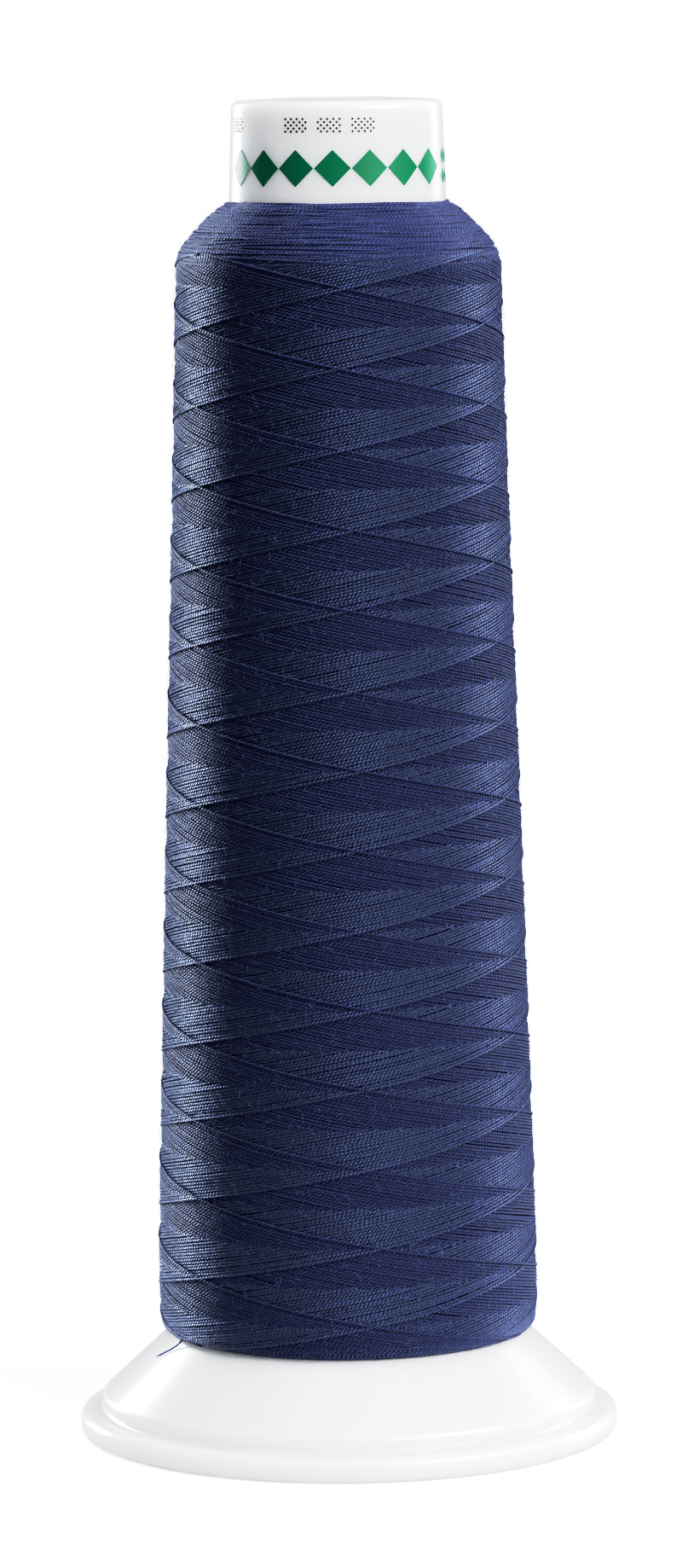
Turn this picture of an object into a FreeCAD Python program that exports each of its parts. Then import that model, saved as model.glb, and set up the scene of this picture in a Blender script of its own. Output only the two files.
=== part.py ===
import FreeCAD, Part
import math
import os

import Sketcher
from FreeCAD import Placement, Rotation, Vector

# A king spool of sewing thread, standing on its foot, in millimetres: +Z up, origin at the centre of the standing
# face. A hollow white core carries the wound thread. Ink marks lie on its neck and a paper label inside its mouth.

SIZES = [
    # foot, from the floor up
    ("rim_radius", 33.1),
    ("rim_height", 3.0),
    ("rim_round", 1.0),
    ("ledge_width", 2.7),
    ("step_rise", 1.9),
    ("step_round", 0.7),
    ("flare_rise", 7.8),
    ("shelf_width", 4.9),
    ("foot_wall", 1.6),
    # barrel and neck
    ("barrel_low_radius", 17.1),
    ("barrel_top_radius", 13.15),
    ("barrel_wall", 1.5),
    ("neck_height", 151.6),
    ("neck_length", 11.6),
    ("neck_draft", 0.4),
    ("cap_crown", 0.65),
    ("cap_round", 1.0),
    # spool pin guide and ribs inside the neck
    ("pin_radius", 5.0),
    ("guide_wall", 1.4),
    ("guide_length", 14.0),
    ("rib_relief", 0.7),
    ("rib_thickness", 1.2),
    ("rib_length", 82.0),
    # wound thread
    ("package_inset", 0.1),
    ("belly_bulge", 1.45),
    ("belly_rise", 3.6),
    ("top_build", 6.6),
    ("shoulder_build", 2.65),
    ("shoulder_rise", 5.6),
    ("shoulder_drop", 1.6),
    ("package_top_gap", 0.4),
    # free end of the thread, lying on the flare
    ("thread_radius", 0.16),
    ("tail_drop_length", 1.3),
    ("tail_run_length", 2.9),
    ("tail_gap", 0.35),
    # ink and paper
    ("ink_thickness", 0.06),
    ("motif_rise", 3.65),
    ("motif_size", 4.4),
    ("side_row_gap", 2.4),
    ("side_motif_size", 1.8),
    ("code_drop", 2.1),
    ("dot_pitch", 0.37),
    ("dot_radius", 0.14),
    ("paper_thickness", 0.15),
    ("label_rise", 7.3),
    ("label_length", 26.0),
]

RIBS = 4
MOTIF_LOZENGES = 7
MOTIF_PITCH_DEG = 20.0
MOTIF_START_DEG = 207.5
SIDE_LOZENGES = 6
SIDE_PITCH_DEG = 9.5
SIDE_START_DEG = 347.0
CODE_BLOCKS = 3
CODE_ROWS = 5
CODE_COLUMNS = 8
CODE_START_DEG = 241.5
CODE_BLOCK_STEP_DEG = 18.4
LOT_START_DEG = 196.0
TAIL_AZIMUTH_DEG = 197.0
LABEL_SWEEP_DEG = 150.0
LABEL_START_DEG = 15.0

doc = FreeCAD.newDocument("ThreadSpool")

sheet = doc.addObject("Spreadsheet::Sheet", "Sizes")
for row, (alias, value) in enumerate(SIZES, start=1):
    sheet.set("A%d" % row, alias)
    sheet.set("B%d" % row, str(value))
    sheet.setAlias("B%d" % row, alias)
doc.recompute()


def size(alias):
    """The present value of a named size."""
    return float(sheet.get(alias))


# Places that follow from the named sizes. The barrel is one straight taper from the flare to the top of the
# package, and the neck goes on with a draft of its own up to the cap.
STEP_RADIUS = "(Sizes.rim_radius - Sizes.ledge_width)"
STEP_HEIGHT = "(Sizes.rim_height + Sizes.step_rise)"
FLARE_RADIUS = "(Sizes.barrel_low_radius + Sizes.shelf_width)"
FLARE_HEIGHT = "(Sizes.rim_height + Sizes.step_rise + Sizes.flare_rise)"
FLARE_TURN = "atan((%s - %s) / Sizes.flare_rise)" % (STEP_RADIUS, FLARE_RADIUS)
CAP_RADIUS = "(Sizes.barrel_top_radius - Sizes.neck_draft)"
CAP_HEIGHT = "(Sizes.neck_height + Sizes.neck_length)"
ROOF_HEIGHT = "(%s - Sizes.barrel_wall)" % CAP_HEIGHT
ROOF_MIDDLE = "(%s - Sizes.barrel_wall / 2)" % CAP_HEIGHT
GUIDE_RADIUS = "(Sizes.pin_radius + Sizes.guide_wall)"
RIB_RADIUS = "(Sizes.pin_radius + Sizes.rib_relief)"
RIB_LOW = "(%s - Sizes.rib_length)" % CAP_HEIGHT
PACKAGE_LAP = "(%s - Sizes.package_inset)" % FLARE_RADIUS
PACKAGE_TOP = "(Sizes.neck_height - Sizes.package_top_gap)"


def barrel_radius(height):
    """Expression for the barrel's outer radius at an expression's height."""
    return "Sizes.barrel_low_radius - (%s - %s) * (%s)" % (
        height,
        FLARE_HEIGHT,
        "(Sizes.barrel_low_radius - Sizes.barrel_top_radius) / (Sizes.neck_height - %s)" % FLARE_HEIGHT,
    )


def own_plane(body, role):
    """A body's own origin plane."""
    return [item for item in body.Origin.OriginFeatures if item.Role == role][0]


def outline(body, name, corners):
    """Closed polygon on a body's XZ plane; each corner is a pair of expressions, radius and height."""
    sketch = body.newObject("Sketcher::SketchObject", name)
    sketch.AttachmentSupport = (own_plane(body, "XZ_Plane"), [""])
    sketch.MapMode = "FlatFace"
    count = len(corners)
    loose = [Vector(50 + 20 * math.cos(2 * math.pi * i / count), 50 + 20 * math.sin(2 * math.pi * i / count), 0)
             for i in range(count)]
    for i in range(count):
        sketch.addGeometry(Part.LineSegment(loose[i], loose[(i + 1) % count]), False)
    for i in range(count):
        sketch.addConstraint(Sketcher.Constraint("Coincident", i, 2, (i + 1) % count, 1))
    for i, corner in enumerate(corners):
        for kind, axis, along, expression in (
            ("DistanceX", -2, loose[i].x, corner[0]),
            ("DistanceY", -1, loose[i].y, corner[1]),
        ):
            if expression == "0":
                sketch.addConstraint(Sketcher.Constraint("PointOnObject", i, 1, axis))
            else:
                index = sketch.addConstraint(Sketcher.Constraint(kind, -1, 1, i, 1, along))
                sketch.setExpression("Constraints[%d]" % index, expression)
    return sketch


def revolved(body, kind, name, sketch):
    """A full turn of a sketch about the spool's axis, as PartDesign::Revolution or PartDesign::Groove."""
    feature = body.newObject(kind, name)
    feature.Profile = sketch
    feature.ReferenceAxis = (sketch, ["V_Axis"])
    feature.Angle = 360
    sketch.Visibility = False
    doc.recompute()
    return feature


def ring_edge(shape, radius, height):
    """Name of the circular edge about Z with a given radius and height."""
    for number, edge in enumerate(shape.Edges, start=1):
        curve = edge.Curve
        if not isinstance(curve, Part.Circle):
            continue
        if abs(curve.Radius - radius) < 1e-4 and abs(curve.Center.z - height) < 1e-4:
            return "Edge%d" % number
    raise RuntimeError("no ring of radius %.3f at height %.3f" % (radius, height))


def rounded(body, name, base, places, alias):
    """Fillet of the rings at the given (radius, height) places."""
    feature = body.newObject("PartDesign::Fillet", name)
    feature.Base = (base, [ring_edge(base.Shape, *place) for place in places])
    feature.setExpression("Radius", "Sizes." + alias)
    doc.recompute()
    return feature


def make_core():
    """One moulding: flared foot with a stepped rim, tapered barrel, neck and cap, hollow from below."""
    body = doc.addObject("PartDesign::Body", "SpoolCore")
    body.Label = "spool_core"
    outside = outline(body, "CoreOutside", [
        ("0", "0"),
        ("Sizes.rim_radius", "0"),
        ("Sizes.rim_radius", "Sizes.rim_height"),
        (STEP_RADIUS, "Sizes.rim_height"),
        (STEP_RADIUS, STEP_HEIGHT),
        (FLARE_RADIUS, FLARE_HEIGHT),
        ("Sizes.barrel_low_radius", FLARE_HEIGHT),
        ("Sizes.barrel_top_radius", "Sizes.neck_height"),
        (CAP_RADIUS, CAP_HEIGHT),
        ("0", CAP_HEIGHT + " + Sizes.cap_crown"),
    ])
    core = revolved(body, "PartDesign::Revolution", "CoreTurned", outside)

    solid_volume = core.Shape.Volume
    shelf_underside = "(%s - Sizes.foot_wall)" % FLARE_HEIGHT
    inside = outline(body, "CoreInside", [
        ("0", "0"),
        ("Sizes.rim_radius - Sizes.foot_wall", "0"),
        ("Sizes.rim_radius - Sizes.foot_wall", "Sizes.rim_height - Sizes.foot_wall"),
        (STEP_RADIUS + " - Sizes.foot_wall", "Sizes.rim_height - Sizes.foot_wall"),
        (STEP_RADIUS + " - Sizes.foot_wall", "%s - Sizes.foot_wall * tan(%s / 2)" % (STEP_HEIGHT, FLARE_TURN)),
        ("%s - Sizes.foot_wall * tan((90 deg - %s) / 2)" % (FLARE_RADIUS, FLARE_TURN), shelf_underside),
        (barrel_radius(shelf_underside) + " - Sizes.barrel_wall", shelf_underside),
        ("Sizes.barrel_top_radius - Sizes.barrel_wall", "Sizes.neck_height"),
        (CAP_RADIUS + " - Sizes.barrel_wall", ROOF_HEIGHT),
        ("0", ROOF_HEIGHT),
    ])
    core = revolved(body, "PartDesign::Groove", "CoreHollow", inside)
    if core.Shape.Volume > 0.5 * solid_volume:
        raise RuntimeError("the hollow removed too little")

    guide = outline(body, "GuideOutline", [
        ("Sizes.pin_radius", ROOF_HEIGHT + " - Sizes.guide_length"),
        (GUIDE_RADIUS, ROOF_HEIGHT + " - Sizes.guide_length"),
        (GUIDE_RADIUS, ROOF_MIDDLE),
        ("Sizes.pin_radius", ROOF_MIDDLE),
    ])
    revolved(body, "PartDesign::Revolution", "PinGuide", guide)

    rib_outline = outline(body, "RibOutline", [
        (RIB_RADIUS, RIB_LOW),
        (barrel_radius(RIB_LOW) + " - Sizes.barrel_wall / 2", RIB_LOW),
        ("Sizes.barrel_top_radius - Sizes.barrel_wall / 2", "Sizes.neck_height"),
        (CAP_RADIUS + " - Sizes.barrel_wall / 2", ROOF_MIDDLE),
        (RIB_RADIUS, ROOF_MIDDLE),
    ])
    rib = body.newObject("PartDesign::Pad", "Rib")
    rib.Profile = rib_outline
    rib.Midplane = True
    rib.setExpression("Length", "Sizes.rib_thickness")
    doc.recompute()
    ribs = body.newObject("PartDesign::PolarPattern", "Ribs")
    ribs.Originals = [rib]
    ribs.Axis = (rib_outline, ["V_Axis"])
    ribs.Angle = 360
    ribs.Occurrences = RIBS
    body.Tip = ribs
    doc.recompute()

    hole_outline = outline(body, "PinHoleOutline", [
        ("0", ROOF_HEIGHT + " - Sizes.guide_length / 2"),
        ("Sizes.pin_radius", ROOF_HEIGHT + " - Sizes.guide_length / 2"),
        ("Sizes.pin_radius", CAP_HEIGHT + " + 2 * Sizes.cap_crown"),
        ("0", CAP_HEIGHT + " + 2 * Sizes.cap_crown"),
    ])
    core = revolved(body, "PartDesign::Groove", "PinHole", hole_outline)

    rim, rim_top = size("rim_radius"), size("rim_height")
    step, step_top = rim - size("ledge_width"), rim_top + size("step_rise")
    cap, cap_top = size("barrel_top_radius") - size("neck_draft"), size("neck_height") + size("neck_length")
    core = rounded(body, "RimRounding", core, [(rim, 0.0), (rim, rim_top)], "rim_round")
    core = rounded(body, "StepRounding", core, [(step, rim_top), (step, step_top)], "step_round")
    rounded(body, "CapRounding", core, [(cap, cap_top)], "cap_round")
    return body


def make_package():
    """The wound thread, as one closed ring on the barrel: undercut at the flare, sloped shoulder at the top."""
    body = doc.addObject("PartDesign::Body", "ThreadPackage")
    body.Label = "thread_package"
    section = outline(body, "PackageOutline", [
        ("Sizes.barrel_low_radius", FLARE_HEIGHT),
        (PACKAGE_LAP, FLARE_HEIGHT),
        (PACKAGE_LAP + " + Sizes.belly_bulge", FLARE_HEIGHT + " + Sizes.belly_rise"),
        ("Sizes.barrel_top_radius + Sizes.top_build",
         PACKAGE_TOP + " - Sizes.shoulder_drop - Sizes.shoulder_rise"),
        ("Sizes.barrel_top_radius + Sizes.shoulder_build", PACKAGE_TOP + " - Sizes.shoulder_drop"),
        (barrel_radius(PACKAGE_TOP), PACKAGE_TOP),
    ])
    revolved(body, "PartDesign::Revolution", "PackageTurned", section)
    return body


def radial(part, azimuth):
    """Turn a primitive's own +Z to point outwards at an azimuth."""
    part.Placement = Placement(
        Vector(0, 0, 0), Rotation(Vector(0, 0, 1), azimuth) * Rotation(Vector(0, 1, 0), 90)
    )


def neck_ink_film():
    """Thin sleeve on the neck's surface, from the package to the cap, that all the ink is cut from."""
    inner = doc.addObject("Part::Cone", "NeckSurface")
    outer = doc.addObject("Part::Cone", "NeckInkSurface")
    for cone, extra in ((inner, ""), (outer, " + Sizes.ink_thickness")):
        cone.setExpression("Radius1", "Sizes.barrel_top_radius" + extra)
        cone.setExpression("Radius2", CAP_RADIUS + extra)
        cone.setExpression("Height", "Sizes.neck_length")
        cone.setExpression("Placement.Base.z", "Sizes.neck_height")
    film = doc.addObject("Part::Cut", "NeckInkFilm")
    film.Base = outer
    film.Tool = inner
    return film


def ink_node(label, name, film, stamps):
    """What is left of the ink film under a set of stamps, as one node."""
    group = doc.addObject("Part::Compound", name + "Stamps")
    group.Links = stamps
    mark = doc.addObject("Part::Common", name)
    mark.Base = film
    mark.Tool = group
    mark.Label = label
    return mark


def lozenge_row(name, count, start, pitch, alias, lift=""):
    """Radial four-sided prisms, side by side round the neck, at the motif's height plus a lift."""
    stamps = []
    for i in range(count):
        stamp = doc.addObject("Part::Prism", "%s%02d" % (name, i + 1))
        stamp.Polygon = 4
        radial(stamp, start + i * pitch)
        stamp.setExpression("Circumradius", "Sizes.%s / 2" % alias)
        stamp.setExpression("Height", "2 * Sizes.barrel_top_radius")
        stamp.setExpression("Placement.Base.z", "Sizes.neck_height + Sizes.motif_rise" + lift)
        stamps.append(stamp)
    return stamps


def dot_blocks(name, count, start, step):
    """Blocks of staggered radial dots, like a coarse ink-jet texture without characters."""
    stamps = []
    for block in range(count):
        for column in range(CODE_COLUMNS):
            for line in range(CODE_ROWS):
                if (column + line + block) % 2:
                    continue
                stamp = doc.addObject("Part::Cylinder", "%s%d%d%d" % (name, block + 1, column + 1, line + 1))
                across = math.degrees(size("dot_pitch") / (size("barrel_top_radius") - size("neck_draft")))
                radial(stamp, start + block * step + column * across)
                stamp.setExpression("Radius", "Sizes.dot_radius")
                stamp.setExpression("Height", "2 * Sizes.barrel_top_radius")
                stamp.setExpression(
                    "Placement.Base.z", "%s - Sizes.code_drop - %d * Sizes.dot_pitch" % (CAP_HEIGHT, line)
                )
                stamps.append(stamp)
    return stamps


def make_prints():
    """Green lozenge rows and black and grey dot blocks on the neck."""
    film = neck_ink_film()
    side_rows = []
    for name, lift in (("SideUpper", " + Sizes.side_row_gap / 2"), ("SideLower", " - Sizes.side_row_gap / 2")):
        side_rows += lozenge_row(name, SIDE_LOZENGES, SIDE_START_DEG, SIDE_PITCH_DEG, "side_motif_size", lift)
    return [
        ink_node("front_motif", "FrontMotif", film,
                 lozenge_row("FrontLozenge", MOTIF_LOZENGES, MOTIF_START_DEG, MOTIF_PITCH_DEG, "motif_size")),
        ink_node("side_motif", "SideMotif", film, side_rows),
        ink_node("batch_dots", "BatchDots", film,
                 dot_blocks("BatchDot", CODE_BLOCKS, CODE_START_DEG, CODE_BLOCK_STEP_DEG)),
        ink_node("lot_dots", "LotDots", film, dot_blocks("LotDot", 1, LOT_START_DEG, CODE_BLOCK_STEP_DEG)),
    ]


def make_label():
    """Paper label stuck to the wall inside the barrel, part of the way round."""
    low = "(%s + Sizes.label_rise)" % FLARE_HEIGHT
    high = "(%s + Sizes.label_length)" % low
    walls = []
    for name, paper in (("LabelBack", ""), ("LabelFront", " - Sizes.paper_thickness")):
        cone = doc.addObject("Part::Cone", name)
        cone.setExpression("Radius1", barrel_radius(low) + " - Sizes.barrel_wall" + paper)
        cone.setExpression("Radius2", barrel_radius(high) + " - Sizes.barrel_wall" + paper)
        cone.setExpression("Height", "Sizes.label_length")
        cone.Angle = LABEL_SWEEP_DEG
        cone.Placement = Placement(Vector(0, 0, 0), Rotation(Vector(0, 0, 1), LABEL_START_DEG))
        cone.setExpression("Placement.Base.z", low)
        walls.append(cone)
    label = doc.addObject("Part::Cut", "InnerLabel")
    label.Base, label.Tool = walls
    label.Label = "inner_label"
    return label


def make_tail():
    """The thread's free end: down beside the undercut, round a bend, and out along the flare."""
    bend_radius = "(%s + Sizes.tail_gap + Sizes.thread_radius)" % FLARE_RADIUS
    flare_fall = "Sizes.flare_rise / (%s - %s)" % (STEP_RADIUS, FLARE_RADIUS)
    clear = "1.05 * Sizes.thread_radius / sin(%s)" % FLARE_TURN
    bend_height = "%s - (%s - %s) * %s + %s" % (FLARE_HEIGHT, bend_radius, FLARE_RADIUS, flare_fall, clear)
    flare_width = size("rim_radius") - size("ledge_width") - size("barrel_low_radius") - size("shelf_width")
    lean = math.degrees(math.atan2(size("belly_bulge"), size("belly_rise")))
    fall = math.degrees(math.atan2(flare_width, size("flare_rise")))
    pieces = []
    for name, kind, tilt, length in (
        ("TailDrop", "Part::Cylinder", lean, "Sizes.tail_drop_length"),
        ("TailBend", "Part::Sphere", 0.0, None),
        ("TailRun", "Part::Cylinder", 180.0 - fall, "Sizes.tail_run_length"),
    ):
        piece = doc.addObject(kind, name)
        piece.setExpression("Radius", "Sizes.thread_radius")
        if length:
            piece.setExpression("Height", length)
        piece.Placement = Placement(
            Vector(0, 0, 0), Rotation(Vector(0, 0, 1), TAIL_AZIMUTH_DEG) * Rotation(Vector(0, 1, 0), tilt)
        )
        for axis, factor in (("x", "cos(%g deg)"), ("y", "sin(%g deg)")):
            piece.setExpression("Placement.Base." + axis, "%s * %s" % (bend_radius, factor % TAIL_AZIMUTH_DEG))
        piece.setExpression("Placement.Base.z", bend_height)
        pieces.append(piece)
    tail = doc.addObject("Part::MultiFuse", "ThreadTail")
    tail.Shapes = pieces
    tail.Refine = True
    tail.Label = "thread_tail"
    return tail


nodes = [make_core(), make_package(), make_tail(), make_label()] + make_prints()
doc.recompute()

for item in doc.Objects:
    if "Invalid" in item.State or "Error" in item.State:
        raise RuntimeError("%s failed: %s" % (item.Label, item.State))
for node in nodes:
    if node.Shape.isNull() or not node.Shape.isValid() or not node.Shape.Solids:
        raise RuntimeError("%s has no valid solid" % node.Label)

os.makedirs("parts", exist_ok=True)
for node in nodes:
    node.Shape.exportStep("parts/%s.step" % node.Label)
    box = node.Shape.BoundBox
    print("%-16s solids %3d  volume %10.2f mm3  z %7.2f to %7.2f" % (
        node.Label, len(node.Shape.Solids), node.Shape.Volume, box.ZMin, box.ZMax))
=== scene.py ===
import math

import bpy
import numpy as np
from mathutils import Matrix, Vector


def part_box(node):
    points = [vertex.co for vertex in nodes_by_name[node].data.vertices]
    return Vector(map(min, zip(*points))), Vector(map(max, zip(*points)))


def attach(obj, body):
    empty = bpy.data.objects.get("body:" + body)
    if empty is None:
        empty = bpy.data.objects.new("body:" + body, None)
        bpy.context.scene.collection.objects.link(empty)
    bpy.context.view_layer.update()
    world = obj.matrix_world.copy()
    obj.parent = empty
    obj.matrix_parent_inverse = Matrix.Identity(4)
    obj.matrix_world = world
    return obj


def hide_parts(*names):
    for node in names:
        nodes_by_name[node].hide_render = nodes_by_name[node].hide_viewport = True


# A king spool of navy sewing thread on a white moulded core. Lengths are in millimetres until a mesh is
# made; distances inside materials, and of lamps and the floor, are in metres.
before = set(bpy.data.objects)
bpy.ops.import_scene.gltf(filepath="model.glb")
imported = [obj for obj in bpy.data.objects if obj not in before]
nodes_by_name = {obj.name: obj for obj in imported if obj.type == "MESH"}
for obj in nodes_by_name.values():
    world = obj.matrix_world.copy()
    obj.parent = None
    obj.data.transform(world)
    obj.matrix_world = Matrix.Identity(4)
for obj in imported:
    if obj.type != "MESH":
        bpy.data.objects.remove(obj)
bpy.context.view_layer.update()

MM = 0.001
random = np.random.default_rng(20261)

# --------------------------------------------------------------------------------------------------
# Places from the frame
# --------------------------------------------------------------------------------------------------
package_low, package_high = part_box("thread_package")
PACKAGE_LOW = package_low.z / MM
PACKAGE_TOP = package_high.z / MM
BELLY_RADIUS = package_high.x / MM


# --------------------------------------------------------------------------------------------------
# Camera: a long lens a little above the spool's cap, tilted down, with a slight roll
# --------------------------------------------------------------------------------------------------
CAMERA_EYE = (-0.27, -800.0, 171.85)
CAMERA_TARGET = (-0.27, 0.0, 79.99)
CAMERA_ROLL = -0.564  # degrees
CAMERA_LENS = 151.18
SENSOR_WIDTH = 36.0


def make_camera():
    eye = Vector(CAMERA_EYE) * MM
    target = Vector(CAMERA_TARGET) * MM
    roll = math.radians(CAMERA_ROLL)
    forward = (target - eye).normalized()
    level = forward.cross(Vector((0, 0, 1))).normalized()
    upright = level.cross(forward)
    right = level * math.cos(roll) + upright * math.sin(roll)
    up = upright * math.cos(roll) - level * math.sin(roll)
    data = bpy.data.cameras.new("camera")
    data.sensor_width = SENSOR_WIDTH
    data.lens = CAMERA_LENS
    data.clip_start = 0.01
    data.clip_end = 20.0
    camera = bpy.data.objects.new("camera", data)
    bpy.context.scene.collection.objects.link(camera)
    rotation = Matrix((right, up, -forward)).transposed().to_4x4()
    camera.matrix_world = Matrix.Translation(eye) @ rotation
    bpy.context.scene.camera = camera


# --------------------------------------------------------------------------------------------------
# Node helpers
# --------------------------------------------------------------------------------------------------
def new_material(name):
    """An empty node material with its Principled shader: (material, nodes, links, shader)."""
    material = bpy.data.materials.new(name)
    material.use_nodes = True
    nodes, links = material.node_tree.nodes, material.node_tree.links
    return material, nodes, links, nodes["Principled BSDF"]


def srgb(red, green, blue):
    """Linear colour of an 8-bit sRGB one."""
    def linear(value):
        value /= 255.0
        return value / 12.92 if value <= 0.04045 else ((value + 0.055) / 1.055) ** 2.4
    return (linear(red), linear(green), linear(blue), 1.0)


def math_node(nodes, links, operation, *inputs):
    """A Math node whose inputs are sockets or numbers; returns its output."""
    node = nodes.new("ShaderNodeMath")
    node.operation = operation
    for slot, value in zip(node.inputs, inputs):
        if isinstance(value, (int, float)):
            slot.default_value = value
        else:
            links.new(value, slot)
    return node.outputs[0]


def noise(nodes, links, vector, scale, detail=2.0, roughness=0.5):
    node = nodes.new("ShaderNodeTexNoise")
    node.inputs["Scale"].default_value = scale
    node.inputs["Detail"].default_value = detail
    node.inputs["Roughness"].default_value = roughness
    links.new(vector, node.inputs["Vector"])
    return node.outputs["Fac"]


def ramp(nodes, links, factor, stops):
    """A colour ramp from (position, colour) stops."""
    node = nodes.new("ShaderNodeValToRGB")
    elements = node.color_ramp.elements
    while len(elements) < len(stops):
        elements.new(0.5)
    for element, (position, colour) in zip(elements, stops):
        element.position = position
        element.color = colour
    links.new(factor, node.inputs["Fac"])
    return node.outputs["Color"]


def bump(nodes, links, height, distance, strength=1.0):
    node = nodes.new("ShaderNodeBump")
    node.inputs["Distance"].default_value = distance
    node.inputs["Strength"].default_value = strength
    links.new(height, node.inputs["Height"])
    return node.outputs["Normal"]


# --------------------------------------------------------------------------------------------------
# Materials
# --------------------------------------------------------------------------------------------------
STRAND_MAP = "strand"
PLIES = 2
PLY_TWIST = 1.08  # length of one full turn of the plies
FIBRE_STRETCH = (1.3, 9.0)  # how fast the fibres' pattern changes along the thread and round it
# The ply wave's share of the colour: painted shade in the grooves between the plies, painted highlight on
# their crests.
PLY_SHADE_SHARE = 0.66
FIBRE_SHARE = 0.34
PATCH_SHARE = 0.24
PATCH_RATE = 0.12
DARK_TONE, LIGHT_TONE = 0.26, 0.74
THREAD_RELIEF = 0.00014
FIBRE_RELIEF = 0.35  # as a share of the plies' relief
ROUGHNESS_SPAN = 0.2
FIBRE_TURN = 0.25  # a quarter turn, so that the gloss spreads across fibres that lie along the thread
THREAD_GLOSS = (0.53, 0.65, 1.0, 1.0)
THREAD_SHEEN = (0.6, 0.72, 1.0, 1.0)


def thread_material(name, light, dark, rough_low, streak, index):
    """Two-ply spun thread: the strand map runs along the thread in millimetres and once round it in V.
    streak is how far the fibres draw the gloss out across themselves, index the gloss's strength as an
    index of refraction."""
    material, nodes, links, shader = new_material(name)
    where = nodes.new("ShaderNodeUVMap")
    where.uv_map = STRAND_MAP
    split = nodes.new("ShaderNodeSeparateXYZ")
    links.new(where.outputs["UV"], split.inputs["Vector"])
    along, around = split.outputs["X"], split.outputs["Y"]
    turns = math_node(nodes, links, "DIVIDE", along, PLY_TWIST)
    phase = math_node(nodes, links, "SUBTRACT", around, turns)
    angle = math_node(nodes, links, "MULTIPLY", phase, PLIES * 2.0 * math.pi)
    wave = math_node(nodes, links, "COSINE", angle)
    ply = math_node(nodes, links, "MULTIPLY_ADD", wave, 0.5, 0.5)

    stretched = nodes.new("ShaderNodeCombineXYZ")
    links.new(math_node(nodes, links, "MULTIPLY", along, FIBRE_STRETCH[0]), stretched.inputs["X"])
    links.new(math_node(nodes, links, "MULTIPLY", phase, FIBRE_STRETCH[1]), stretched.inputs["Y"])
    fibre = noise(nodes, links, stretched.outputs[0], 3.2, 3.0, 0.6)
    slow = nodes.new("ShaderNodeCombineXYZ")
    links.new(math_node(nodes, links, "MULTIPLY", along, PATCH_RATE), slow.inputs["X"])
    patch = noise(nodes, links, slow.outputs[0], 1.0, 1.0)

    # The colour's tone: the ply wave paints shade in the grooves and highlights on the crests. The fibre
    # and patch noise add tone that differs at random.
    fibre_tone = math_node(nodes, links, "MULTIPLY", fibre, FIBRE_SHARE)
    patch_tone = math_node(nodes, links, "MULTIPLY_ADD", patch, PATCH_SHARE, -PATCH_SHARE / 2.0)
    tone = math_node(nodes, links, "MULTIPLY_ADD", ply, PLY_SHADE_SHARE, fibre_tone)
    tone = math_node(nodes, links, "ADD", tone, patch_tone)
    colour = ramp(nodes, links, tone, [(DARK_TONE, dark), (LIGHT_TONE, light)])
    links.new(colour, shader.inputs["Base Color"])
    relief = math_node(nodes, links, "MULTIPLY_ADD", fibre, FIBRE_RELIEF, ply)
    links.new(bump(nodes, links, relief, THREAD_RELIEF), shader.inputs["Normal"])
    rough = math_node(nodes, links, "MULTIPLY_ADD", fibre, ROUGHNESS_SPAN, rough_low)
    links.new(rough, shader.inputs["Roughness"])
    fibres = nodes.new("ShaderNodeTangent")
    fibres.direction_type = "UV_MAP"
    fibres.uv_map = STRAND_MAP
    links.new(fibres.outputs["Tangent"], shader.inputs["Tangent"])
    shader.inputs["Anisotropic"].default_value = streak
    shader.inputs["Anisotropic Rotation"].default_value = FIBRE_TURN
    shader.inputs["IOR"].default_value = index
    shader.inputs["Specular IOR Level"].default_value = 1.0
    shader.inputs["Specular Tint"].default_value = THREAD_GLOSS
    shader.inputs["Sheen Weight"].default_value = 0.3
    shader.inputs["Sheen Roughness"].default_value = 0.4
    shader.inputs["Sheen Tint"].default_value = THREAD_SHEEN
    return material


def under_shade_material():
    """Older turns seen only through gaps: matt, ridged round the package and painted nearly black, as shade
    between the outer turns.
    """
    material, nodes, links, shader = new_material("navy_thread_below_painted_shade")
    where = nodes.new("ShaderNodeTexCoord")
    stretch = nodes.new("ShaderNodeMapping")
    stretch.inputs["Scale"].default_value = (60.0, 60.0, 2700.0)
    links.new(where.outputs["Object"], stretch.inputs["Vector"])
    ridges = noise(nodes, links, stretch.outputs["Vector"], 1.0, 2.0)
    # Painted shade: these colours are far darker than the thread's own.
    colour = ramp(nodes, links, ridges, [(0.35, srgb(12, 13, 32)), (0.7, srgb(38, 40, 78))])
    links.new(colour, shader.inputs["Base Color"])
    links.new(bump(nodes, links, ridges, 0.0001), shader.inputs["Normal"])
    shader.inputs["Roughness"].default_value = 0.95
    shader.inputs["Specular IOR Level"].default_value = 0.1
    return material


def lint_material():
    """Loose fibre ends: paler than the thread because light comes through them."""
    material, nodes, links, shader = new_material("lint")
    where = nodes.new("ShaderNodeTexCoord")
    mottle = noise(nodes, links, where.outputs["Object"], 900.0)
    colour = ramp(nodes, links, mottle, [(0.3, srgb(104, 114, 170)), (0.7, srgb(150, 162, 212))])
    links.new(colour, shader.inputs["Base Color"])
    shader.inputs["Roughness"].default_value = 0.6
    return material


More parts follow.
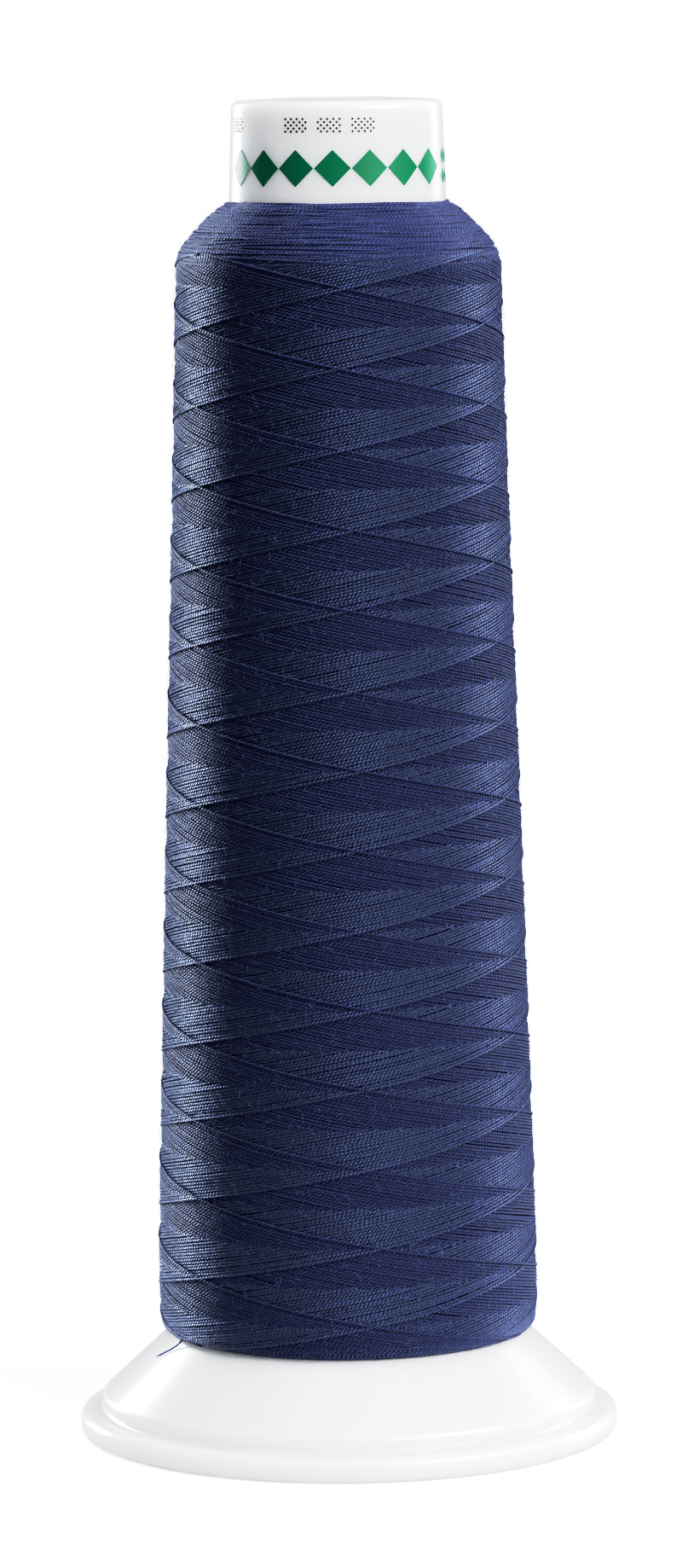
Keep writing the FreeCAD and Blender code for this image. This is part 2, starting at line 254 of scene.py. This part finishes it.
def plastic_material():
    """Glossy white polypropylene: faint flow marks and a handling haze in the roughness. The weak glow is
    painted light: the plastic glows though it is no lamp, only to lift its tone."""
    material, nodes, links, shader = new_material("white_plastic")
    where = nodes.new("ShaderNodeTexCoord")
    place = where.outputs["Object"]
    cloud = noise(nodes, links, place, 45.0, 3.0)
    grain = noise(nodes, links, place, 1400.0, 2.0)
    colour = ramp(nodes, links, cloud, [(0.3, srgb(229, 230, 231)), (0.7, srgb(236, 236, 237))])
    links.new(colour, shader.inputs["Base Color"])
    rough = math_node(nodes, links, "MULTIPLY_ADD", cloud, 0.12, 0.2)
    links.new(rough, shader.inputs["Roughness"])
    swell = noise(nodes, links, place, 130.0, 1.0)
    wavy = math_node(nodes, links, "MULTIPLY_ADD", grain, 0.05, swell)
    links.new(bump(nodes, links, wavy, 0.00006, 0.5), shader.inputs["Normal"])
    # Painted light: the plastic glows a little to lift its shaded side.
    shader.inputs["Emission Color"].default_value = (0.95, 0.97, 1.0, 1.0)
    shader.inputs["Emission Strength"].default_value = 0.04
    shader.inputs["Subsurface Weight"].default_value = 0.9
    shader.inputs["Subsurface Radius"].default_value = (1.0, 0.95, 0.9)
    shader.inputs["Subsurface Scale"].default_value = 0.006
    return material


INK_EDGE = 0.12


def ink_material(name, colour, worn, bare):
    """Pad-printed ink with pinholes: colour, a thinner tone of it, and how much of the surface is thin."""
    material, nodes, links, shader = new_material(name)
    where = nodes.new("ShaderNodeTexCoord")
    cover = noise(nodes, links, where.outputs["Object"], 5200.0, 3.0, 0.6)
    tint = ramp(nodes, links, cover, [(bare, worn), (bare + INK_EDGE, colour)])
    links.new(tint, shader.inputs["Base Color"])
    links.new(bump(nodes, links, cover, 0.00002, 0.4), shader.inputs["Normal"])
    shader.inputs["Roughness"].default_value = 0.42
    return material


def paper_material():
    """Uncoated white paper with faint fibres."""
    material, nodes, links, shader = new_material("label_paper")
    where = nodes.new("ShaderNodeTexCoord")
    fibre = noise(nodes, links, where.outputs["Object"], 700.0, 4.0, 0.7)
    colour = ramp(nodes, links, fibre, [(0.3, srgb(226, 224, 214)), (0.7, srgb(240, 239, 232))])
    links.new(colour, shader.inputs["Base Color"])
    links.new(bump(nodes, links, fibre, 0.00004, 0.4), shader.inputs["Normal"])
    shader.inputs["Roughness"].default_value = 0.85
    return material


def shade(obj, material):
    obj.data.materials.clear()
    obj.data.materials.append(material)


# --------------------------------------------------------------------------------------------------
# The package's outline, as (height, radius) from the flare to the neck, and its smooth surface
# --------------------------------------------------------------------------------------------------
OUTLINE = [
    (PACKAGE_LOW - 0.1, 21.3),
    (PACKAGE_LOW + 0.2, 22.3),
    (PACKAGE_LOW + 0.9, 22.95),
    (PACKAGE_LOW + 2.3, 23.2),
    (PACKAGE_LOW + 4.3, BELLY_RADIUS),
    (PACKAGE_LOW + 17.0, 23.12),
    (PACKAGE_LOW + 60.0, 21.85),
    (PACKAGE_LOW + 108.0, 20.35),
    (PACKAGE_TOP - 7.6, 19.75),
    (PACKAGE_TOP - 6.2, 19.38),
    (PACKAGE_TOP - 5.2, 18.85),
    (PACKAGE_TOP - 4.2, 18.0),
    (PACKAGE_TOP - 2.3, 16.2),
    (PACKAGE_TOP - 1.3, 15.1),
    (PACKAGE_TOP - 0.5, 14.0),
    (PACKAGE_TOP, 13.1),
]
OUTLINE_STEP = 0.05
ROUNDING = 11  # steps to each side


def run_lengths(points):
    """Distance run from the first point to each point."""
    return np.concatenate([[0.0], np.cumsum(np.linalg.norm(np.diff(points, axis=0), axis=1))])


def smoothed(values, reach):
    """Values averaged under a bell that reaches that many samples to each side, with the ends kept."""
    window = np.hanning(2 * reach + 1)
    padded = np.pad(values, reach, mode="reflect", reflect_type="odd")
    return np.convolve(padded, window / window.sum(), mode="valid")


def smooth_outline():
    """The outline, evenly sampled along its own length and rounded: arrays (length, height, radius)."""
    heights, radii = np.array(OUTLINE).T
    lengths = run_lengths(np.stack([heights, radii], axis=-1))
    even = np.arange(0.0, lengths[-1], OUTLINE_STEP)
    heights, radii = np.interp(even, lengths, heights), np.interp(even, lengths, radii)
    return even, smoothed(heights, ROUNDING), smoothed(radii, ROUNDING)


S_LENGTH, S_HEIGHT, S_RADIUS = smooth_outline()
S_SLOPE = np.unwrap(np.arctan2(np.gradient(S_HEIGHT), np.gradient(S_RADIUS)))


def on_surface(azimuth, length, lift):
    """Points on the package and their outward normals, from azimuth in degrees (0 = front, + to the right),
    length along the outline and height above it."""
    radius = np.interp(length, S_LENGTH, S_RADIUS)
    height = np.interp(length, S_LENGTH, S_HEIGHT)
    slope = np.interp(length, S_LENGTH, S_SLOPE)
    out, up = np.sin(slope), -np.cos(slope)
    turn = np.radians(azimuth)
    east, north = np.sin(turn), -np.cos(turn)
    normal = np.stack([out * east, out * north, up], axis=-1)
    reach = radius + lift * out
    return np.stack([reach * east, reach * north, height + lift * up], axis=-1), normal


def length_at(height):
    return np.interp(height, S_HEIGHT, S_LENGTH)


# --------------------------------------------------------------------------------------------------
# Tube meshes
# --------------------------------------------------------------------------------------------------
def mesh_object(name, points, loops, totals, uvs=None):
    """A smooth-shaded mesh object from flat arrays; points are in millimetres."""
    starts = np.concatenate([[0], np.cumsum(totals)[:-1]])
    mesh = bpy.data.meshes.new(name)
    mesh.vertices.add(len(points))
    mesh.vertices.foreach_set("co", (points * MM).astype(np.float32).ravel())
    mesh.loops.add(len(loops))
    mesh.loops.foreach_set("vertex_index", loops.astype(np.int32))
    mesh.polygons.add(len(starts))
    mesh.polygons.foreach_set("loop_start", starts.astype(np.int32))
    mesh.polygons.foreach_set("loop_total", totals.astype(np.int32))
    if uvs is not None:
        layer = mesh.uv_layers.new(name=STRAND_MAP)
        layer.data.foreach_set("uv", uvs.astype(np.float32).ravel())
    mesh.update(calc_edges=True)
    mesh.validate()
    mesh.polygons.foreach_set("use_smooth", np.ones(len(starts), bool))
    obj = bpy.data.objects.new(name, mesh)
    bpy.context.scene.collection.objects.link(obj)
    return obj


LONGEST_START = 50.0


def tube_mesh(name, strips, width, thickness, sides):
    """Closed elliptical tubes along strips of (points, normals, sizes): width across and thickness along
    the normal, both times the size. The strand map starts at a random place on each strip."""
    turn = np.arange(sides) / sides * 2.0 * np.pi
    rings, loops, uvs, totals = [], [], [], []
    base = 0
    v_low, v_high = np.arange(sides) / sides, (np.arange(sides) + 1) / sides
    following = (np.arange(sides) + 1) % sides
    for points, normals, size in strips:
        count = len(points)
        tangent = np.gradient(points, axis=0)
        tangent /= np.linalg.norm(tangent, axis=1, keepdims=True)
        side = np.cross(tangent, normals)
        side /= np.linalg.norm(side, axis=1, keepdims=True)
        out = np.cross(side, tangent)
        half_width, half_height = 0.5 * width * size, 0.5 * thickness * size
        ring = (points[:, None, :]
                + (half_width[:, None] * np.cos(turn))[..., None] * side[:, None, :]
                + (half_height[:, None] * np.sin(turn))[..., None] * out[:, None, :])
        rings.append(ring.reshape(-1, 3))
        run = run_lengths(points) + random.uniform(0.0, LONGEST_START)
        first = base + np.arange(count - 1)[:, None] * sides
        here, there = np.arange(sides)[None, :], following[None, :]
        quads = np.stack([first + here, first + there,
                          first + sides + there, first + sides + here], axis=-1)
        loops.append(quads.reshape(-1))
        near, far = np.repeat(run[:-1, None], sides, 1), np.repeat(run[1:, None], sides, 1)
        low = np.repeat(v_low[None, :], count - 1, 0)
        high = np.repeat(v_high[None, :], count - 1, 0)
        quad_uv = np.stack([np.stack([near, low], -1), np.stack([near, high], -1),
                            np.stack([far, high], -1), np.stack([far, low], -1)], axis=2)
        uvs.append(quad_uv.reshape(-1, 2))
        totals.append(np.full((count - 1) * sides, 4))
        start_cap = base + np.arange(sides)[::-1]
        end_cap = base + (count - 1) * sides + np.arange(sides)
        loops.append(np.concatenate([start_cap, end_cap]))
        cap_run = np.concatenate([np.full(sides, run[0]), np.full(sides, run[-1])])
        uvs.append(np.stack([cap_run, np.concatenate([v_low[::-1], v_low])], axis=-1))
        totals.append(np.array([sides, sides]))
        base += count * sides
    return mesh_object(name, np.concatenate(rings), np.concatenate(loops), np.concatenate(totals),
                       np.concatenate(uvs))


# --------------------------------------------------------------------------------------------------
# The winding. Every third double traverse nearly repeats and lies one thread further round, so three
# bands climb and three fall, and the newest thread always lies on top.
# --------------------------------------------------------------------------------------------------
THREAD_WIDTH = 0.34
CLIMBING_WIDTH = 0.335
FALLING_WIDTH = 0.35
THREAD_THICKNESS = 0.28
BANDS = 3
BAND_ANGLE = 360.0 / BANDS
THREADS_PER_BAND = 25
THREAD_ANGLE = BAND_ANGLE / THREADS_PER_BAND
RISE_PER_TURN = 28.7
CROSSING_DRIFT = 0.0051  # share taken from the turning rate on the way up and added on the way down
CLIMB_RATE = 360.0 / RISE_PER_TURN * (1.0 - CROSSING_DRIFT)
FALL_RATE = 360.0 / RISE_PER_TURN * (1.0 + CROSSING_DRIFT)
CROSSING_HEIGHT = 141.25
CROSSING_AZIMUTH = 2.3
CROSSING_STEP = BAND_ANGLE / (CLIMB_RATE + FALL_RATE)
CROSSINGS_BELOW = 27
TOP_TURN = CROSSING_HEIGHT + CROSSING_STEP
LOW_TURN = CROSSING_HEIGHT - CROSSINGS_BELOW * CROSSING_STEP
TURN_ROUNDING = 12.0
LAYER_LIFT = 0.125  # from the oldest thread of a band to the newest
PROUD = 0.07  # how far the newest thread of each band stands above the rest
TUCK = 2.6  # how many threads further on a thread is kept after it goes under
TUCK_SHARPNESS = 2.2
CROSSING_LEAD = 0.17
LIFT_ERROR = 0.022
HEIGHT_ERROR = 0.018
SIZE_ERROR = 0.05
AZIMUTH_ERROR = 0.3
SAMPLES_PER_KNOT = 5
SAMPLE_ANGLE = 4.0
TUBE_SIDES = 8


def wound_height(climbed, whole):
    """Height reached after an azimuth climbed from the low turn, with both turns rounded."""
    low = np.sqrt(climbed ** 2 + TURN_ROUNDING ** 2) - climbed
    rest = whole - climbed
    high = np.sqrt(rest ** 2 + TURN_ROUNDING ** 2) - rest
    return low - high + climbed


def wander(count, reach):
    """Random offsets, about +-reach, that change slowly along a thread of that many samples."""
    knots = random.normal(0.0, reach, count // SAMPLES_PER_KNOT + 4)
    return np.interp(np.linspace(0, len(knots) - 1, count), np.arange(len(knots)), knots)


def pass_strips(number, climbing, offset):
    """Visible strips of one pass: number 0 is the newest double traverse; offset is its own error in
    degrees. own and other are the ages, in threads, of this thread and of the one that it crosses."""
    rate = CLIMB_RATE if climbing else FALL_RATE
    whole = (TOP_TURN - LOW_TURN) * rate
    climbed = np.arange(0.0, whole + SAMPLE_ANGLE, SAMPLE_ANGLE)
    climbed[-1] = whole
    height = LOW_TURN + wound_height(climbed, whole) / rate
    straight = LOW_TURN + climbed / rate - CROSSING_HEIGHT
    back = number * (BAND_ANGLE + THREAD_ANGLE / BANDS)
    azimuth = CROSSING_AZIMUTH - back + offset + (rate if climbing else -rate) * straight
    own = number / BANDS
    rise = height - CROSSING_HEIGHT
    other_phase = azimuth + FALL_RATE * rise if climbing else azimuth - CLIMB_RATE * rise
    other = ((CROSSING_AZIMUTH - other_phase) % BAND_ANGLE) / THREAD_ANGLE
    lead = CROSSING_LEAD if climbing else -CROSSING_LEAD
    over = 1.0 / (1.0 + np.exp(-(other - own + lead) * TUCK_SHARPNESS))
    share = LAYER_LIFT / THREADS_PER_BAND
    lift = share * (THREADS_PER_BAND - own - other) - LAYER_LIFT * (1.0 - over)
    lift = lift - THREAD_THICKNESS / 2.0 + random.normal(0.0, LIFT_ERROR)
    lift = lift + (PROUD if number < BANDS else 0.0)
    height = height + wander(len(height), HEIGHT_ERROR)
    keep = other > own - TUCK
    reach = int(round(TUCK * THREAD_ANGLE / 2.0 / SAMPLE_ANGLE)) + 1
    fronts = np.flatnonzero(np.abs(np.diff(other)) > THREADS_PER_BAND / 2.0)
    for index in fronts:
        keep[max(0, index - reach):index + reach] = True
    points, normals = on_surface(azimuth, length_at(height), lift)
    edges = np.flatnonzero(np.diff(np.concatenate([[0], keep.astype(int), [0]])))
    size = 1.0 + SIZE_ERROR * wander(len(height), 1.0)
    strips = []
    for first, last in zip(edges[::2], edges[1::2]):
        if last - first >= 2:
            strips.append((points[first:last], normals[first:last], size[first:last]))
    return strips


def finish_thread(piece, material):
    shade(piece, material)
    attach(piece, "root")
    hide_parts("thread_package")


def make_winding(climbing_material, falling_material):
    """Six pieces, one for each band that climbs and each that falls."""
    errors = random.normal(0.0, AZIMUTH_ERROR, BANDS * THREADS_PER_BAND)
    ways = [
        (True, "climbing", CLIMBING_WIDTH, climbing_material),
        (False, "falling", FALLING_WIDTH, falling_material),
    ]
    for climbing, way, width, material in ways:
        for band in range(BANDS):
            strips = []
            for turn in range(THREADS_PER_BAND):
                number = turn * BANDS + band
                strips += pass_strips(number, climbing, errors[number])
            name = "thread_%s_%d" % (way, band + 1)
            piece = tube_mesh(name, strips, width, THREAD_THICKNESS, TUBE_SIDES)
            finish_thread(piece, material)


ARC_SPACING = 90.0
ARC_SHIFT = 40.0
ARC_REACH = (52.0, 80.0)
ARC_STEP = 2.5
ARC_SAG = 5.0  # in spreads, from the middle of an arc to its ends
ARC_TILT = 2.0  # in spreads
ARC_WANDER = 0.03
ARC_DEPTH = (-0.05, 0.03)
RING_PITCH = 0.31
RING_LIFT = -0.13
RING_STEP = 3.0
RING_END = 364.0
RING_SWAY = 0.05
LOWEST_LENGTH = 0.02


def flat_arcs(low, high, pitch, lift, dive, spread):
    """Old turns that lie almost level: arcs between two lengths along the outline, their ends under their
    neighbours; dive is how far the ends go down, spread how unevenly the arcs lie."""
    strips = []
    for level in np.arange(low, high, pitch):
        for start in np.arange(0.0, 360.0, ARC_SPACING):
            reach = random.uniform(*ARC_REACH)
            swing = np.arange(-reach, reach + ARC_STEP, ARC_STEP)
            sweep = swing / reach
            length = level + random.normal(0.0, spread) - ARC_SAG * spread * sweep ** 2
            length = length + random.normal(0.0, ARC_TILT * spread) * sweep + wander(len(swing), ARC_WANDER)
            length = np.clip(length, LOWEST_LENGTH, S_LENGTH[-1])
            deep = lift - dive * np.abs(sweep) ** 3 + random.uniform(*ARC_DEPTH)
            turn = start + random.uniform(-ARC_SHIFT, ARC_SHIFT) + swing
            points, normals = on_surface(turn, length, deep - THREAD_THICKNESS / 2.0)
            strips.append((points, normals, np.ones(len(swing))))
    return strips


def level_rings(low, high):
    """Complete turns close together, a floor for the arcs above them."""
    strips = []
    turn = np.arange(0.0, RING_END, RING_STEP)
    for level in np.arange(low, high, RING_PITCH):
        sway = RING_SWAY * np.sin(np.radians(turn) * random.integers(1, 4) + random.uniform(0.0, 6.0))
        length = np.clip(level + sway, LOWEST_LENGTH, S_LENGTH[-1])
        start = random.uniform(0.0, 360.0)
        points, normals = on_surface(turn + start, length, RING_LIFT - THREAD_THICKNESS / 2.0)
        strips.append((points, normals, np.ones(len(turn))))
    return strips


SHOULDER_PIECES = 2
UNDERCUT_START = 0.1


def make_shoulder(material):
    """Turns laid bare where the package draws in to the neck."""
    low, high = length_at(TOP_TURN - 3.0), S_LENGTH[-1]
    strips = level_rings(low, high)
    strips += flat_arcs(low + 1.2, high, pitch=0.3, lift=0.02, dive=0.3, spread=0.12)
    strips += flat_arcs(low + 2.0, high - 0.4, pitch=0.5, lift=0.08, dive=0.4, spread=0.25)
    for part in range(SHOULDER_PIECES):
        own = strips[part::SHOULDER_PIECES]
        name = "thread_shoulder_%d" % (part + 1)
        piece = tube_mesh(name, own, THREAD_WIDTH, THREAD_THICKNESS, TUBE_SIDES)
        finish_thread(piece, material)


def make_undercut(material):
    """Turns laid bare at the package's lower edge, where it draws in to the flare."""
    high = length_at(LOW_TURN + 2.6)
    strips = level_rings(UNDERCUT_START, high)
    strips += flat_arcs(UNDERCUT_START, high - 0.6, pitch=0.3, lift=0.02, dive=0.3, spread=0.1)
    piece = tube_mesh("thread_undercut", strips, THREAD_WIDTH, THREAD_THICKNESS, TUBE_SIDES)
    finish_thread(piece, material)


# The loose end: down from under the package's lower edge, round a bend, then out along the flare.
TAIL_PATH = [
    (-20.3, -9.75, 13.1),
    (-20.55, -9.7, 12.75),
    (-20.85, -9.45, 12.4),
    (-21.3, -9.1, 12.02),
    (-22.0, -8.5, 11.52),
    (-22.8, -7.8, 10.98),
    (-23.3, -7.37, 10.66),
    (-23.55, -7.16, 10.52),
]
TAIL_WIDTH = 0.23
TAIL_SAMPLES = 60
TAIL_ROUNDING = 5
TAIL_TAPER = 0.7
TAIL_TIP = 0.55
TAIL_SIDES = 12


def make_tail(material):
    path = np.array(TAIL_PATH)
    knots = run_lengths(path)
    even = np.linspace(0.0, knots[-1], TAIL_SAMPLES)
    columns = [smoothed(np.interp(even, knots, values), TAIL_ROUNDING) for values in path.T]
    points = np.stack(columns, axis=-1)
    outward = points * (1.0, 1.0, 0.0)
    normals = outward / np.linalg.norm(outward, axis=1, keepdims=True)
    size = np.interp(even, [0.0, knots[-1] - TAIL_TAPER, knots[-1]], [1.0, 1.0, TAIL_TIP])
    piece = tube_mesh("thread_tail_twisted", [(points, normals, size)], TAIL_WIDTH, TAIL_WIDTH, TAIL_SIDES)
    shade(piece, material)
    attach(piece, "root")
    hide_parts("thread_tail")


BODY_INSET = 0.37  # below the thread's crests
BODY_STEP = 14  # samples of the outline
BODY_TOP_TRIM = 6
BODY_TOP_BORE = 12.9
BODY_LOW_BORE = 16.9
BODY_SEGMENTS = 192


def lathe(name, outline, segments):
    """A turned ring from the (radius, height) points of its closed section."""
    outline = np.array(outline, float)
    count = len(outline)
    turn = np.arange(segments) / segments * 2.0 * np.pi
    radius, height = outline[:, 0], outline[:, 1]
    points = np.stack([radius[:, None] * np.cos(turn), radius[:, None] * np.sin(turn),
                       np.repeat(height[:, None], segments, 1)], axis=-1).reshape(-1, 3)
    rows = np.arange(count)
    here = rows[:, None] * segments
    above = ((rows + 1) % count)[:, None] * segments
    column = np.arange(segments)[None, :]
    following = (column + 1) % segments
    loops = np.stack([here + column, here + following, above + following, above + column], axis=-1)
    return mesh_object(name, points, loops.reshape(-1), np.full(count * segments, 4))


def make_package_body(material):
    """The mass of older thread just under the outer turns, down to the barrel."""
    samples = range(BODY_STEP, len(S_LENGTH) - BODY_TOP_TRIM, BODY_STEP)
    outer = [(S_RADIUS[i] - BODY_INSET, S_HEIGHT[i]) for i in samples]
    outer.append((BODY_TOP_BORE, outer[-1][1] + 0.1))
    inner = [(BODY_LOW_BORE, outer[0][1])]
    body = lathe("thread_body", inner + outer, BODY_SEGMENTS)
    finish_thread(body, material)


# --------------------------------------------------------------------------------------------------
# Lint: loose fibre ends that stand off the thread
# --------------------------------------------------------------------------------------------------
LINT_PIECES = 2
LINT_HAIRS = 6000  # in a piece
LINT_JOINTS = 6
LINT_WIDTH = 0.03
LINT_SIDES = 3
LINT_SHORTEST = 0.3
LINT_REACH = 0.3
LINT_BEND = 1.8
LINT_CURL = 1.0
LINT_LIFT = 0.09
LINT_TAPER = 0.6


def lint_hair():
    """One loose fibre end, curling away from the thread that it comes from."""
    length = random.uniform(0.4, S_LENGTH[-1] - 0.15)
    azimuth = random.uniform(0.0, 360.0)
    reach = random.gamma(2.0, LINT_REACH) + LINT_SHORTEST
    along = np.linspace(0.0, 1.0, LINT_JOINTS)
    heading = random.uniform(0.0, 2.0 * math.pi) + random.normal(0.0, LINT_BEND) * along
    heading = heading + random.normal(0.0, LINT_CURL) * along ** 2
    step = reach / (LINT_JOINTS - 1)
    across = np.concatenate([[0.0], np.cumsum(np.cos(heading[:-1]) * step)])
    upward = np.concatenate([[0.0], np.cumsum(np.sin(heading[:-1]) * step)])
    lift = random.gamma(2.0, LINT_LIFT) * np.sin(along * random.uniform(1.6, 3.0)) + 0.02
    radius = np.interp(length, S_LENGTH, S_RADIUS)
    where = np.clip(length + upward, 0.1, S_LENGTH[-1] - 0.02)
    points, normals = on_surface(azimuth + np.degrees(across / radius), where, lift)
    return points, normals, 1.0 - LINT_TAPER * along


def make_lint(material):
    for part in range(LINT_PIECES):
        strips = [lint_hair() for _ in range(LINT_HAIRS)]
        piece = tube_mesh("thread_lint_%d" % (part + 1), strips, LINT_WIDTH, LINT_WIDTH, LINT_SIDES)
        shade(piece, material)
        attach(piece, "root")


# --------------------------------------------------------------------------------------------------
# The floor, the light and the world
# --------------------------------------------------------------------------------------------------
FLOOR_RADIUS = 0.45
FLOOR_SEGMENTS = 96
FLOOR_DROP = 0.00002
FLOOR_GLOW = 0.05
FLOOR_GLOW_FOR_EYE = 0.55
FADE_START = 0.04
FADE_END = 0.24


def make_floor():
    """A pale round table top that fades into the white background. The eye sees it glow more than it lights
    anything, so most of the contact shadow is hidden."""
    material, nodes, links, shader = new_material("pale_floor")
    shader.inputs["Base Color"].default_value = (0.62, 0.62, 0.62, 1.0)
    shader.inputs["Roughness"].default_value = 0.7
    shader.inputs["Emission Color"].default_value = (1.0, 1.0, 1.0, 1.0)
    path = nodes.new("ShaderNodeLightPath")
    eye = path.outputs["Is Camera Ray"]
    glow = math_node(nodes, links, "MULTIPLY_ADD", eye, FLOOR_GLOW_FOR_EYE, FLOOR_GLOW)
    links.new(glow, shader.inputs["Emission Strength"])
    where = nodes.new("ShaderNodeTexCoord")
    span = nodes.new("ShaderNodeVectorMath")
    span.operation = "LENGTH"
    links.new(where.outputs["Object"], span.inputs[0])
    fade = nodes.new("ShaderNodeMapRange")
    fade.interpolation_type = "SMOOTHSTEP"
    fade.inputs["From Min"].default_value = FADE_START
    fade.inputs["From Max"].default_value = FADE_END
    links.new(span.outputs["Value"], fade.inputs["Value"])
    clear = nodes.new("ShaderNodeBsdfTransparent")
    mix = nodes.new("ShaderNodeMixShader")
    links.new(fade.outputs["Result"], mix.inputs["Fac"])
    links.new(shader.outputs["BSDF"], mix.inputs[1])
    links.new(clear.outputs["BSDF"], mix.inputs[2])
    links.new(mix.outputs["Shader"], nodes["Material Output"].inputs["Surface"])
    turn = np.arange(FLOOR_SEGMENTS) / FLOOR_SEGMENTS * 2.0 * np.pi
    rim = [(FLOOR_RADIUS * math.cos(t), FLOOR_RADIUS * math.sin(t), 0.0) for t in turn]
    mesh = bpy.data.meshes.new("floor")
    mesh.from_pydata(rim, [], [list(range(len(rim)))])
    floor = bpy.data.objects.new("floor", mesh)
    bpy.context.scene.collection.objects.link(floor)
    floor.location.z = -FLOOR_DROP
    shade(floor, material)


# name, azimuth from the front towards the right, elevation, width, height, power, colour
LAMP_DISTANCE = 1.2
LAMP_AIM = 0.08
LAMPS = [
    ("strip_left", -137.0, 8.0, 0.36, 0.9, 11.0, (0.93, 0.97, 1.0)),
    ("key_right", 50.0, 30.0, 1.0, 0.7, 12.4, (1.0, 1.0, 1.0)),
    ("rim_right", 132.0, 14.0, 0.4, 0.8, 3.4, (1.0, 1.0, 1.0)),
    ("overhead", 0.0, 88.0, 0.8, 0.8, 2.8, (1.0, 1.0, 1.0)),
    ("fill_left", -34.0, 60.0, 0.8, 0.6, 2.8, (1.0, 1.0, 1.0)),
]


def softbox(name, azimuth, elevation, width, height, power, colour):
    """A rectangular lamp facing the middle of the spool."""
    data = bpy.data.lights.new(name, "AREA")
    data.shape = "RECTANGLE"
    data.size, data.size_y = width, height
    data.energy = power
    data.color = colour
    lamp = bpy.data.objects.new(name, data)
    turn, rise = math.radians(azimuth), math.radians(elevation)
    level = math.cos(rise)
    place = Vector((math.sin(turn) * level, -math.cos(turn) * level, math.sin(rise))) * LAMP_DISTANCE
    lamp.location = place + Vector((0, 0, LAMP_AIM))
    lamp.rotation_euler = (-place).to_track_quat("-Z", "Y").to_euler()
    bpy.context.scene.collection.objects.link(lamp)


SKY_FOR_EYE = 1.0
SKY_FOR_LIGHT = 0.085
SKY_IN_GLOSS = 0.015


def make_world():
    """White for the eye, a dimmer white for lighting and a dimmer one still in reflections."""
    world = bpy.data.worlds.new("studio")
    world.use_nodes = True
    nodes, links = world.node_tree.nodes, world.node_tree.links
    background = nodes["Background"]
    path = nodes.new("ShaderNodeLightPath")
    gloss, eye = path.outputs["Is Glossy Ray"], path.outputs["Is Camera Ray"]
    dim = math_node(nodes, links, "MULTIPLY_ADD", gloss, SKY_IN_GLOSS - SKY_FOR_LIGHT, SKY_FOR_LIGHT)
    seen = math_node(nodes, links, "MULTIPLY_ADD", eye, SKY_FOR_EYE - SKY_FOR_LIGHT, dim)
    background.inputs["Color"].default_value = (1.0, 1.0, 1.0, 1.0)
    links.new(seen, background.inputs["Strength"])
    bpy.context.scene.world = world


# A camera's tone curve on linear light: shadows deepened, middle tones lifted, highlights rolled off.
TONE_POINTS = [
    (0.0, 0.0),
    (0.012, 0.0035),
    (0.03, 0.0165),
    (0.06, 0.0465),
    (0.1, 0.1),
    (0.16, 0.24),
    (0.24, 0.48),
    (0.34, 0.70),
    (0.5, 0.82),
    (0.75, 0.91),
    (1.0, 1.0),
]
COMBINED_CURVE = 3


def set_tone_curve():
    settings = bpy.context.scene.view_settings
    settings.view_transform = "Standard"
    settings.use_curve_mapping = True
    mapping = settings.curve_mapping
    curve = mapping.curves[COMBINED_CURVE]
    while len(curve.points) < len(TONE_POINTS):
        curve.points.new(0.5, 0.5)
    for point, place in zip(curve.points, TONE_POINTS):
        point.location = place
    mapping.update()


# --------------------------------------------------------------------------------------------------
make_camera()
make_world()
make_floor()
for lamp_settings in LAMPS:
    softbox(*lamp_settings)
set_tone_curve()

# In life this is one thread of one colour. The difference between the threads that climb and those that
# fall brings out the pale and dark lozenges of a cross-wound package, and isn't a model of the fibres: the
# climbing threads are a darker copy of the thread, painted shade, and the falling threads a paler copy,
# painted light.
thread = thread_material(
    "navy_thread", srgb(56, 60, 106), srgb(9, 10, 31), rough_low=0.38, streak=0.8, index=1.5)
# A darker copy of the thread: painted shade.
shaded_climbing_thread = thread_material(
    "navy_thread_climbing_painted_shade", srgb(44, 48, 95), srgb(5, 6, 22), rough_low=0.31, streak=0.9, index=1.8)
# A paler copy of the thread: painted light.
lit_falling_thread = thread_material(
    "navy_thread_falling_painted_light", srgb(65, 69, 118), srgb(8, 9, 31), rough_low=0.42, streak=0.62, index=1.42)
make_package_body(under_shade_material())
make_winding(shaded_climbing_thread, lit_falling_thread)
# A paler copy of the thread for the shoulder's turns: painted light.
lit_shoulder_thread = thread_material(
    "navy_thread_shoulder_painted_light", srgb(68, 72, 122), srgb(14, 15, 40), rough_low=0.44, streak=0.7, index=1.5)
make_shoulder(lit_shoulder_thread)
make_undercut(thread)
# A much paler copy of the thread for the loose end: painted light, for the light through a single thread
# and the bounce off the white plastic.
lit_loose_end = thread_material(
    "navy_thread_end_painted_light", srgb(104, 112, 166), srgb(52, 58, 104), rough_low=0.46, streak=0.5, index=1.45)
make_tail(lit_loose_end)
make_lint(lint_material())

shade(nodes_by_name["spool_core"], plastic_material())
green = ink_material("green_ink", srgb(6, 122, 92), srgb(70, 160, 135), 0.2)
shade(nodes_by_name["front_motif"], green)
shade(nodes_by_name["side_motif"], green)
black = ink_material("black_ink", srgb(50, 50, 52), srgb(120, 120, 122), 0.3)
shade(nodes_by_name["batch_dots"], black)
grey = ink_material("grey_ink", srgb(130, 130, 134), srgb(190, 190, 192), 0.4)
shade(nodes_by_name["lot_dots"], grey)
shade(nodes_by_name["inner_label"], paper_material())
